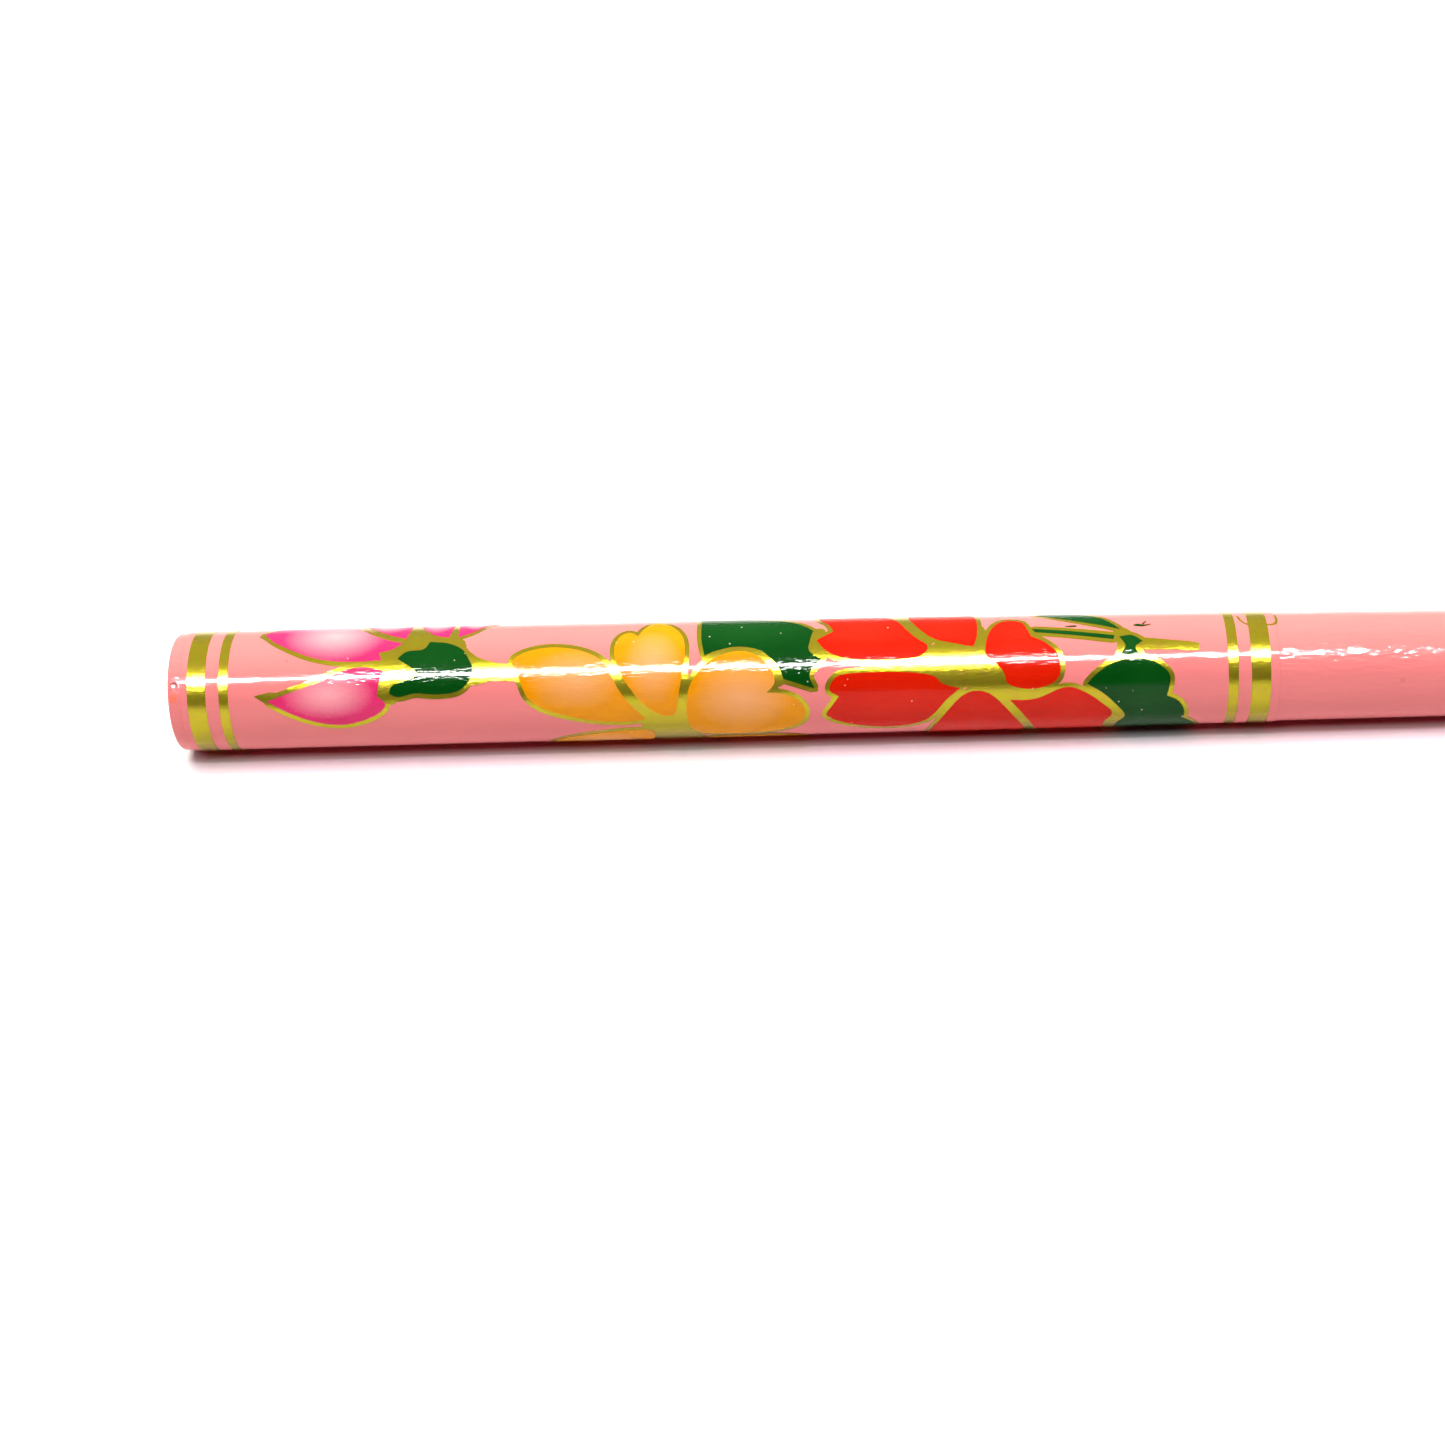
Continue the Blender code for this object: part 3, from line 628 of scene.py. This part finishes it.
# %% Petal outlines
PETALS = [
    ("magenta_petal_low", "magenta", (10.9, -0.4), (3.2, 1.6), [
        (6.8, -0.75, "corner"), (8.0, -0.35), (9.3, 0.05), (10.6, 0.5), (11.8, 1.0), (13.2, 1.25),
        (14.75, 1.0, "corner"), (14.4, 0.3), (14.2, -0.6, "corner"), (14.75, -1.1), (14.2, -1.7),
        (13.0, -2.2), (11.6, -2.45), (10.0, -2.2), (8.3, -1.55)]),
    ("magenta_petal_high", "magenta", (11.2, 3.8), (3.6, 2.2), [
        (6.3, 4.2, "corner"), (7.0, 3.4), (8.2, 2.65), (9.6, 2.05), (11.2, 1.7), (13.0, 1.62),
        (14.55, 1.7, "corner"), (14.3, 2.2, "corner"), (15.2, 2.45), (15.85, 2.95, "corner"),
        (14.8, 3.25), (13.6, 3.9), (12.7, 4.8), (11.8, 5.9), (10.2, 6.4), (8.4, 6.0), (7.1, 5.1)]),
    ("magenta_petal_top_left", "magenta", (14.7, 5.9), (1.6, 2.0), [
        (16.05, 3.35, "corner"), (15.0, 3.75), (14.0, 4.4), (13.2, 5.4), (12.9, 6.6), (13.6, 7.6),
        (14.8, 7.8), (15.8, 7.0), (16.2, 5.8), (16.25, 4.5)]),
    ("magenta_petal_top_mid", "magenta", (18.0, 5.8), (1.2, 2.0), [
        (18.95, 3.4, "corner"), (18.1, 3.6), (17.4, 4.2), (16.95, 5.0), (16.8, 6.2), (17.2, 7.5),
        (18.2, 8.0), (18.9, 7.2), (19.1, 5.8), (19.1, 4.5)]),
    ("magenta_petal_top_right", "magenta", (20.6, 5.8), (0.9, 1.6), [
        (19.6, 3.4, "corner"), (19.5, 4.5), (19.55, 5.8), (20.1, 6.9), (21.2, 7.2), (21.9, 6.3),
        (21.4, 5.1), (20.6, 4.0)]),
    ("yellow_petal_left", "yellow", (27.6, 0.2), (3.4, 2.0), [
        (23.35, 1.45), (24.2, 2.0), (25.6, 2.3), (27.2, 2.2), (28.6, 1.75), (29.6, 1.05), (29.95, 0.3),
        (30.5, -0.7), (31.3, -1.75), (32.1, -2.6, "corner"), (30.6, -2.8), (28.8, -2.65), (27.0, -2.25),
        (25.3, -1.65), (24.3, -0.9), (23.85, 0.1), (23.5, 0.8)]),
    ("yellow_petal_top", "yellow", (32.7, 1.0), (2.0, 2.6), [
        (30.15, 1.6), (30.2, 2.5), (30.6, 3.2), (31.15, 3.45), (31.7, 3.1, "corner"), (32.1, 3.9),
        (32.7, 4.6), (33.3, 4.6), (34.1, 3.9), (34.7, 2.9), (34.85, 1.8), (34.7, 0.6), (34.4, -0.8),
        (34.15, -2.1), (33.6, -2.4), (32.9, -2.2), (31.9, -1.4), (31.1, -0.4), (30.45, 0.6)]),
    ("yellow_petal_right", "yellow", (38.6, -1.2), (3.4, 2.6), [
        (35.3, -0.1), (36.2, 0.95), (37.5, 1.6), (38.7, 1.75), (39.8, 1.35), (40.6, 0.5),
        (40.75, -0.35), (40.2, -0.95, "corner"), (41.3, -1.05), (42.3, -1.5), (42.75, -2.3),
        (42.4, -3.2), (41.3, -3.9), (39.8, -4.3), (38.0, -4.45), (36.4, -4.35), (35.4, -3.9),
        (34.9, -3.0), (34.85, -1.8), (35.0, -0.8)]),
    ("yellow_petal_low_left", "yellow", (29.2, -5.6), (3.0, 1.7), [
        (32.35, -3.75), (31.0, -3.65), (29.2, -3.85), (27.4, -4.2), (26.0, -4.8), (25.6, -5.8),
        (26.4, -6.9), (28.2, -7.5), (30.2, -7.1), (31.8, -6.0), (32.5, -4.8)]),
    ("yellow_petal_low_right", "yellow", (39.4, -6.2), (2.8, 1.2), [
        (36.2, -5.2), (37.8, -5.0), (39.6, -4.9), (41.4, -5.0), (42.6, -5.6), (42.6, -6.6),
        (41.4, -7.4), (39.6, -7.6), (37.8, -7.1), (36.4, -6.2)]),
    ("yellow_petal_bottom", "yellow", (34.1, -7.8), (1.5, 1.5), [
        (33.4, -6.1), (32.6, -6.9), (32.3, -8.0), (33.0, -9.1), (34.2, -9.3), (35.4, -8.7),
        (35.8, -7.6), (35.2, -6.6), (34.4, -6.1)]),
    ("red_petal_high_left", "red", (46.6, 3.4), (3.0, 2.0), [
        (43.9, 5.4), (43.95, 4.6), (44.4, 4.0), (44.75, 3.2, "corner"), (43.6, 2.45, "corner"),
        (44.3, 1.6), (45.6, 1.1), (47.4, 0.95), (49.4, 1.0), (50.5, 1.2), (50.95, 1.85), (50.2, 2.5),
        (49.55, 3.3), (48.95, 4.35), (48.1, 5.3), (46.7, 6.1), (44.9, 6.3)]),
    ("red_petal_high_mid", "red", (52.0, 4.6), (2.2, 2.6), [
        (53.95, 1.75, "corner"), (52.6, 2.05), (51.4, 2.4), (50.6, 3.1), (50.0, 4.1), (49.75, 5.3),
        (50.0, 6.6), (51.0, 7.6), (52.3, 7.5), (53.4, 6.5), (54.1, 5.1), (54.3, 3.6), (54.2, 2.4)]),
    ("red_petal_right", "red", (57.0, 1.4), (2.2, 2.2), [
        (54.75, 1.2), (54.85, 2.2), (55.2, 3.1), (55.8, 3.85), (56.5, 4.05), (57.25, 3.8), (57.6, 3.0),
        (57.8, 2.45, "corner"), (58.7, 1.95), (59.45, 1.2), (59.65, 0.3), (59.4, -0.5), (58.6, -0.95),
        (57.4, -1.1), (56.2, -0.75), (55.9, 0.0), (55.3, 0.7)]),
    ("red_petal_left", "red", (48.4, -1.9), (3.4, 1.8), [
        (45.3, 0.1), (44.6, -0.3), (44.4, -0.9), (45.0, -1.3, "corner"), (44.5, -2.0), (44.15, -2.65),
        (44.9, -3.2), (46.2, -3.7), (47.8, -4.0), (49.3, -3.9), (50.6, -3.4), (51.4, -2.6),
        (52.1, -1.7), (53.0, -0.95, "corner"), (51.9, -0.65), (51.2, -0.1), (49.5, 0.15), (47.3, 0.2)]),
    ("red_petal_low_mid", "red", (54.0, -4.6), (2.6, 3.0), [
        (54.0, -1.15), (53.1, -1.5), (52.3, -2.4), (51.6, -3.5), (51.1, -4.6), (50.9, -6.0),
        (51.3, -7.4), (52.6, -8.2), (54.4, -8.3), (56.2, -7.7), (57.2, -6.5), (57.3, -5.0),
        (56.9, -3.8), (56.0, -2.4), (55.0, -1.4)]),
    ("red_petal_low_right", "red", (60.2, -4.2), (2.4, 2.6), [
        (56.3, -1.85, "corner"), (58.0, -1.8), (59.9, -1.05), (61.2, -1.4), (62.3, -2.2), (63.05, -3.1),
        (62.6, -4.0, "corner"), (62.5, -5.0), (62.8, -6.2), (62.1, -7.3), (60.4, -7.6), (58.9, -6.9),
        (58.2, -5.6), (57.8, -4.2), (57.1, -2.9)]),
]

print("petals:", len(PETALS))

# %% [markdown]
# Leaves and stems have the same kind of entry. Three small leaves lie on the far side, where the blossoms
# leave the lacquer bare.

# %% Leaf outlines
LEAVES = [
    ("leaf_calyx", "green", (18.0, 1.2), (3.0, 1.5), [
        (15.05, -0.45, "corner"), (15.25, 0.05), (16.0, 0.3), (16.9, 0.8), (15.6, 1.75, "corner"),
        (16.2, 2.25), (17.3, 2.4), (17.7, 3.0, "corner"), (18.9, 2.85), (19.9, 2.35), (20.4, 1.6),
        (20.7, 0.95), (20.4, 0.2), (19.6, -0.4), (18.2, -0.55), (16.8, -0.45), (15.7, -0.65)]),
    ("leaf_between_blossoms", "green", (39.0, 3.4), (3.6, 1.6), [
        (35.95, 5.6), (35.9, 4.0), (35.95, 2.6), (36.15, 1.5, "corner"), (37.0, 1.85), (38.3, 2.1),
        (39.6, 1.88), (40.5, 1.27), (41.1, 0.55), (41.35, -0.1, "corner"), (43.4, -0.75, "corner"),
        (43.1, 0.2), (43.9, 1.1, "corner"), (43.1, 1.7), (43.2, 2.6), (43.4, 3.3, "corner"),
        (42.6, 4.0), (41.4, 4.7), (40.0, 5.1), (38.3, 5.6), (36.9, 6.1)]),
    ("leaf_neck", "green", (65.4, -2.0), (2.0, 3.0), [
        (61.35, -0.85, "corner"), (62.0, -0.2), (62.9, 0.4), (63.9, 0.72), (65.2, 0.7), (66.2, 0.25),
        (66.8, -0.5), (66.6, -1.8, "corner"), (67.4, -2.25), (67.8, -3.1), (67.75, -3.85, "corner"),
        (68.5, -4.7), (68.7, -5.7), (68.2, -6.8), (67.0, -7.6), (65.4, -7.8), (64.0, -7.0),
        (63.4, -5.8), (63.4, -4.5), (63.9, -3.4), (63.3, -2.4), (62.4, -1.5)]),
    ("stem_node", "green", (64.2, 1.7), (1.0, 1.0), [
        (63.6, 2.3, "corner"), (64.4, 2.4), (65.1, 1.95, "corner"), (64.6, 1.5), (64.9, 0.98, "corner"),
        (63.5, 0.98, "corner"), (63.95, 1.6)]),
    ("stem_line", "green", (60.0, 2.8), (3.0, 0.5), [
        (57.9, 3.1, "corner"), (60.5, 2.82), (63.3, 2.4, "corner"), (63.2, 2.12, "corner"),
        (60.5, 2.52), (58.1, 2.8, "corner")]),
    ("leaf_slender", "green", (61.4, 4.4), (2.0, 1.0), [
        (58.2, 5.1, "corner"), (59.4, 4.5), (60.6, 4.0), (61.8, 3.6), (63.7, 2.95, "corner"),
        (63.0, 3.75), (62.2, 4.5), (61.0, 5.1), (59.6, 5.4)]),
    ("leaf_back_head", "green", (13.4, 9.3), (3.0, 0.8), [
        (10.0, 8.9, "corner"), (12.0, 9.8), (14.5, 10.2), (17.0, 9.6, "corner"), (14.5, 9.0),
        (12.0, 8.5)]),
    ("leaf_back_mid", "green", (43.4, -9.4), (3.0, 0.8), [
        (40.0, -9.2, "corner"), (42.0, -8.6), (44.5, -8.6), (47.0, -9.6, "corner"), (44.5, -10.4),
        (42.0, -10.2)]),
    ("leaf_back_neck", "green", (59.4, 8.7), (3.0, 0.8), [
        (56.0, 8.7, "corner"), (58.0, 9.4), (60.4, 9.4), (62.8, 8.6, "corner"), (60.4, 8.0),
        (58.0, 8.0)]),
]
print("leaves and stems:", len(LEAVES))

# %% [markdown]
# Between the petals the foil shows by itself: the hearts of the blossoms, the stems, the ground behind
# the calyx, and two smudges beside the wide band at the neck. Three specks of green ink went astray near
# the slender leaf, and they are part of its patch.

# %% Foil shapes and stray ink
FOIL_SHAPES = [
    [(14.2, 2.2), (15.4, 3.2), (16.3, 3.6), (17.6, 3.4), (19.4, 3.4), (20.2, 2.6), (19.8, 0.0), (16.0, 0.0),
     (14.6, 0.0), (14.2, 1.2)],
    [(15.9, 3.4), (16.1, 4.6), (16.0, 6.2), (17.0, 6.2), (17.2, 4.8), (17.9, 3.9), (17.9, 3.3)],
    [(19.0, 3.2), (19.0, 4.8), (19.6, 4.8), (19.8, 3.2)],
    [(14.3, 0.4), (14.2, -0.6), (14.7, -1.2), (15.5, -1.0), (15.7, -0.4), (15.2, 0.2)],
    [(19.8, 2.6), (20.9, 1.8), (22.2, 1.35), (23.6, 1.1), (23.9, 0.2), (22.0, 0.2), (20.4, 0.1)],
    [(5.9, -0.4, "corner"), (7.4, -0.2), (7.4, -1.2)],
    [(5.9, 4.0, "corner"), (6.9, 4.4), (7.1, 3.1)],
    [(31.9, -2.4), (34.6, -2.4), (35.4, -4.3), (36.2, -5.0), (35.5, -6.3), (33.6, -6.3), (32.2, -4.6),
     (31.8, -3.3)],
    [(29.9, 0.9), (30.3, 0.6), (31.2, -0.7), (32.3, -1.9), (33.3, -2.6), (32.2, -2.9), (31.3, -1.9),
     (30.5, -0.8)],
    [(34.7, 0.7), (35.1, 0.2), (34.95, -1.5), (35.1, -3.0), (34.2, -2.8), (34.3, -1.6)],
    [(40.5, 0.9), (41.2, 0.6), (41.5, 0.0), (41.3, -0.5), (40.6, -0.5)],
    [(43.0, 1.6), (43.2, 2.6), (43.5, 3.5), (44.2, 3.4), (44.0, 2.4), (44.4, 1.7), (44.1, 1.0)],
    [(46.6, 0.95), (48.5, 0.85), (50.6, 1.0), (50.8, 0.3), (48.6, 0.3), (46.8, 0.4)],
    [(50.9, 1.9), (50.0, 3.0), (49.0, 4.4), (48.1, 5.6), (47.9, 6.6), (49.7, 6.7), (49.9, 5.0), (50.6, 3.2),
     (51.5, 2.4)],
    [(53.9, 1.8), (54.2, 3.4), (54.7, 3.4), (54.9, 2.4), (54.8, 1.3)],
    [(53.2, -1.1), (52.0, -2.3), (51.2, -3.6), (50.8, -4.9), (50.7, -6.0), (50.9, -6.0), (51.2, -4.6),
     (52.4, -2.4), (53.4, -1.3)],
    [(55.2, -1.4), (56.4, -2.9), (57.1, -4.2), (57.5, -5.6), (57.6, -7.0), (58.3, -6.8), (57.9, -5.3),
     (57.5, -4.0), (56.9, -2.9), (56.2, -1.9)],
    [(56.0, -0.9), (57.6, -1.3), (59.2, -1.0), (59.9, -0.9), (58.4, -1.7), (56.3, -1.8)],
    [(61.3, -1.1), (62.5, -1.9), (63.5, -2.9), (63.7, -3.8), (63.2, -5.0), (63.3, -6.6), (62.7, -6.5),
     (62.6, -5.0), (62.7, -4.0), (62.9, -3.1)],
    [(50.6, 0.3), (51.0, 1.8), (52.5, 2.2), (54.2, 2.0), (55.0, 1.2), (56.0, 0.2), (56.6, -0.8), (56.5, -2.0),
     (54.9, -1.3), (54.0, -1.0), (52.8, -0.8), (51.0, -0.3)],
    [(64.6, 2.2), (66.5, 2.05), (68.6, 1.78), (68.75, 1.5), (68.6, 1.22), (66.8, 1.3), (64.6, 1.4)],
    [(63.1, 3.2), (63.8, 3.2), (64.6, 2.4), (64.6, 0.6), (63.5, 0.6), (63.4, 2.2)],
    [(14.1, 7.6), (13.6, 9.1), (14.0, 9.1), (14.5, 7.6)],
    [(40.3, -7.3), (41.4, -9.0), (41.9, -8.9), (40.9, -7.3)],
    [(52.0, 7.4), (56.6, 8.8), (56.8, 8.4), (52.4, 7.1)],
    [(71.5, 4.3), (71.62, 3.7), (71.9, 3.3), (72.2, 3.15), (72.2, 3.28), (71.95, 3.42), (71.75, 3.8),
     (71.62, 4.3)],
    [(73.35, 3.1), (73.9, 3.15), (74.15, 3.6), (74.1, 4.4), (73.98, 4.4), (74.0, 3.7), (73.8, 3.3),
     (73.35, 3.22)],
]
INK_SMEARS = {
    "leaf_slender": [[(64.6, 3.32), (65.2, 3.2), (65.8, 3.42), (65.3, 3.36), (64.9, 3.45)],
                     [(65.2, 3.5), (65.45, 3.75), (65.5, 3.7), (65.3, 3.45)],
                     [(60.1, 3.32), (60.7, 3.4), (60.9, 3.3), (60.5, 3.25)]],
}
print("foil shapes:", len(FOIL_SHAPES), "stray ink specks:", sum(map(len, INK_SMEARS.values())))

# %% [markdown]
# The foil is one stamping. Under the petals it reaches a third of a millimetre past each outline, and
# that rim is the gold line. A line drawn as a tube round each petal would stand up like a wire, so the
# foil is instead one flat patch that all the widened outlines share, with the ink patches laid on top.

# %% Lay the foil, then the inks
OUTLINE_WIDTH = 0.3
SMALL_SHAPE_STEPS = 3
FOIL_TOP = 0.07 * MM
INK_TOP = 0.09 * MM
foil_outlines = [smooth_outline(shape, SMALL_SHAPE_STEPS) for shape in FOIL_SHAPES]
for node, colour, centre, reach, points in PETALS + LEAVES:
    outline = smooth_outline(points)
    foil_outlines.append(widened(outline, OUTLINE_WIDTH))
    rim, heart, glow = INKS[colour]
    finish = ink(node + "_ink", rim, heart, centre, reach, glow)
    smears = [smooth_outline(smear, SMALL_SHAPE_STEPS) for smear in INK_SMEARS.get(node, [])]
    petal = patch(node + "_print", [outline, *smears], FOIL_TOP - EMBED, INK_TOP, finish)
    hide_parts(node)
foil = patch("foil_print", foil_outlines, FILM_TOP - EMBED, FOIL_TOP, gold)
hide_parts("foil_line_work")
print("ink patches:", len(PETALS + LEAVES), "foil triangles:", len(foil.data.polygons))

# %% [markdown]
# ## Bare wood
#
# The core is hidden except for the bare spot at the tip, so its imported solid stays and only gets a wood
# finish: fine grain that runs along the stick.

# %% Wood
WOOD_DARK = (0.45, 0.27, 0.13)
WOOD_LIGHT = (0.72, 0.52, 0.32)


def wood():
    finish = Finish("bare_wood", Roughness=0.6)
    grain = finish.clouds((0.15, 6.0, 6.0), detail=5.0)
    finish.feed("Base Color", finish.mix(grain, WOOD_DARK, WOOD_LIGHT))
    finish.feed("Normal", finish.bump(grain, 0.3, 0.02 * MM))
    return finish.material


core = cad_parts["wood_core"]
core.data.materials.clear()
core.data.materials.append(wood())
print("core:", core.data.materials[0].name)

# %% [markdown]
# ## The studio
#
# The stick lies on plain pale paper. Light that passes back and forth between paper and lacquer reddens
# the shadow close to the stick. Bounced light alone leaves it too grey here, so a shadow is painted into the
# paper's colour in a strip 5 mm wide along the printed side: deep red next to the stick, a faint pink at the
# shadow's edge. The painted strip starts at the head but has no end at the tip, and past the tip it shows
# as a thin pink line.

# %% Floor, with a painted shadow
FLOOR_HALF = 1.6
PAPER, PAPER_LIGHT = (0.49, 0.49, 0.52), (0.51, 0.51, 0.54)
# painted shadow colours on the paper: deep red next to the stick, faint pink at the shadow's edge
PAINTED_SHADOW_DEEP = (0.52, 0.095, 0.125)
PAINTED_SHADOW_EDGE = (0.70, 0.56, 0.63)
CENTIMETRE = 10 * MM


def floor_finish():
    finish = Finish("paper_and_painted_shadow", Roughness=0.8)
    plain = finish.mix(finish.clouds((0.5, 0.5, 0.5)), PAPER, PAPER_LIGHT)
    place = finish.place([MM / CENTIMETRE] * 3)
    past_head = finish.node("ShaderNodeSeparateXYZ", {}, {0: place}, output=0) - HEAD_X / CENTIMETRE
    closeness = 1 + finish.node("ShaderNodeSeparateXYZ", {}, {0: place}, output=1)
    # painted shadow: a strip along the printed side where the paper's colour is reddened like the contact
    # shadow
    painted_shadow_strip = (finish.ramp(past_head, (0.0, 0), (0.15, 1))
             * finish.ramp(closeness, (0.5, 0), (0.66, 1), (0.96, 1), (1.0, 0)))
    painted_shadow_colour = finish.mix(finish.ramp(closeness, (0.735, 0), (0.77, 1)), PAINTED_SHADOW_EDGE, PAINTED_SHADOW_DEEP)
    finish.feed("Base Color", finish.mix(painted_shadow_strip, plain, painted_shadow_colour))
    return finish.material


floor_shape = bmesh.new()
bmesh.ops.create_grid(floor_shape, x_segments=1, y_segments=1, size=FLOOR_HALF)
floor_mesh = bpy.data.meshes.new("floor")
floor_shape.to_mesh(floor_mesh)
floor_shape.free()
floor_mesh.materials.append(floor_finish())
floor = bpy.data.objects.new("floor", floor_mesh)
bpy.context.scene.collection.objects.link(floor)
print("floor:", 2 * FLOOR_HALF, "m square")

# %% [markdown]
# The camera looks down at the printed side from near the head. Its place is set from the stick's own
# centre line, so it would follow if the taper changed.

# %% Camera
EYE_ALONG = 45.94 * MM
EYE_DISTANCE = 174.57 * MM
EYE_ELEVATION = math.radians(38)
PAN, TILT, ROLL = math.radians(2.917), math.radians(-0.955), math.radians(-1.304)
SENSOR = 36
LENS = 64.21
CLIP_START = 0.01
FRAMED_LENGTH = 85 * MM


def centre_point(along):
    return Vector((HEAD_X + along, 0, centre_height(along)))


line = (centre_point(FRAMED_LENGTH) - centre_point(0)).normalized()
towards_eye = Vector((0, -math.cos(EYE_ELEVATION), math.sin(EYE_ELEVATION)))
towards_eye = (towards_eye - towards_eye.dot(line) * line).normalized()
upwards = towards_eye.cross(line)
view_axes = Matrix((line, upwards, towards_eye)).transposed()
turns = Matrix.Rotation(PAN, 3, "Y") @ Matrix.Rotation(TILT, 3, "X") @ Matrix.Rotation(ROLL, 3, "Z")
eye = centre_point(0) + EYE_ALONG * line + EYE_DISTANCE * towards_eye
camera_data = bpy.data.cameras.new("camera")
camera_data.sensor_width = SENSOR
camera_data.lens = LENS
camera_data.clip_start = CLIP_START
camera = bpy.data.objects.new("camera", camera_data)
camera.matrix_world = Matrix.Translation(eye) @ (view_axes @ turns).to_4x4()
bpy.context.scene.collection.objects.link(camera)
bpy.context.scene.camera = camera
print("camera at", [round(value, 3) for value in eye])

# %% [markdown]
# A studio could be lit by one set of lamps. Here the jobs are split, because Blender lets a lamp skip one
# kind of ray: the long tube only shows in the gloss and draws the thin bright line along the lacquer, and
# the soft lamps after it only light the colour.

# %% The tube that shows in the gloss
def area_lamp(name, place, along, target, size, power, colour=(1, 1, 1)):
    """A rectangular lamp whose long side lies near `along` and which faces the target."""
    data = bpy.data.lights.new(name, "AREA")
    data.shape = "RECTANGLE"
    data.size, data.size_y = size
    data.energy = power
    data.color = colour
    away = (place - target).normalized()
    long_side = (along - along.dot(away) * away).normalized()
    lamp = bpy.data.objects.new(name, data)
    axes = Matrix((long_side, away.cross(long_side), away)).transposed()
    lamp.matrix_world = Matrix.Translation(place) @ axes.to_4x4()
    bpy.context.scene.collection.objects.link(lamp)
    return lamp


PRINT_MIDDLE = 38 * MM
TUBE_DISTANCE = 0.9
TUBE_RISE = math.radians(24.5)
TUBE_TILT = math.radians(19)
TUBE_SHIFT = -0.155
TUBE_SIZE = (0.84, 0.055)
TUBE_POWER = 120
print_middle = centre_point(PRINT_MIDDLE)
tube_axis = math.cos(TUBE_TILT) * line + math.sin(TUBE_TILT) * upwards
tube_way = math.cos(TUBE_RISE) * towards_eye + math.sin(TUBE_RISE) * upwards
tube_place = print_middle + TUBE_DISTANCE * tube_way + TUBE_SHIFT * tube_axis
tube_shine = area_lamp("tube_shine", tube_place, tube_axis, print_middle, TUBE_SIZE, TUBE_POWER)
tube_shine.visible_diffuse = False
print("tube at", [round(value, 3) for value in tube_place])


# %% [markdown]
# Three lamps light the colour. A small key lamp gives the shadow its crisp edge, a box nearly overhead
# lights the upper side, and a wide warm box behind the stick softens the shadow. Each is given by its
# angle round the stick: 0 is the camera's side, 90 is overhead and 180 is behind.

# %% The lamps that light the colour
def matt_lamp(name, turn_degrees, distance, size, power, colour=(1, 1, 1)):
    """A lamp at an angle round the stick that shows in no gloss."""
    turn = math.radians(turn_degrees)
    place = print_middle + distance * Vector((0, -math.cos(turn), math.sin(turn)))
    lamp = area_lamp(name, place, line, print_middle, size, power, colour)
    lamp.visible_glossy = False


matt_lamp("key", 69, distance=0.9, size=(0.10, 0.03), power=2.9)
matt_lamp("front_box", 84, distance=1.2, size=(1.6, 0.46), power=21, colour=(1.0, 0.99, 0.94))
matt_lamp("back_box", 124, distance=1.2, size=(1.6, 0.65), power=38, colour=(1.0, 0.95, 0.74))

# %% [markdown]
# The room is brighter overhead and behind than on the camera's side. The sky's brightness is a ramp over
# the angle round the stick, from the horizon on the camera's side over the top to the horizon behind. A
# picture of a room could light the gloss too, but a ramp is enough for a plain stick and is easy to
# change.

# %% Sky and tone
SKY_STOPS = ((0.0, 4.0), (0.03, 4.0), (0.045, 0.01), (0.34, 0.02), (0.40, 1.0), (0.72, 1.0), (1.0, 0.65))
SKY_STRENGTH = 0.6
sky = bpy.data.worlds.new("sky")
sky.use_nodes = True
room = Network(sky.node_tree)
direction = room.node("ShaderNodeTexCoord")
towards_back = room.node("ShaderNodeSeparateXYZ", {}, {0: direction}, output=1)
towards_top = room.node("ShaderNodeSeparateXYZ", {}, {0: direction}, output=2)
turn = room.node("ShaderNodeMath", {"operation": "ARCTAN2"}, {0: towards_top, 1: 0 - towards_back})
background = sky.node_tree.nodes["Background"]
room.join(room.ramp(turn * (1 / math.pi), *SKY_STOPS), background.inputs["Color"])
background.inputs["Strength"].default_value = SKY_STRENGTH
bpy.context.scene.world = sky
bpy.context.scene.view_settings.view_transform = "Standard"
print("sky stops:", len(SKY_STOPS))
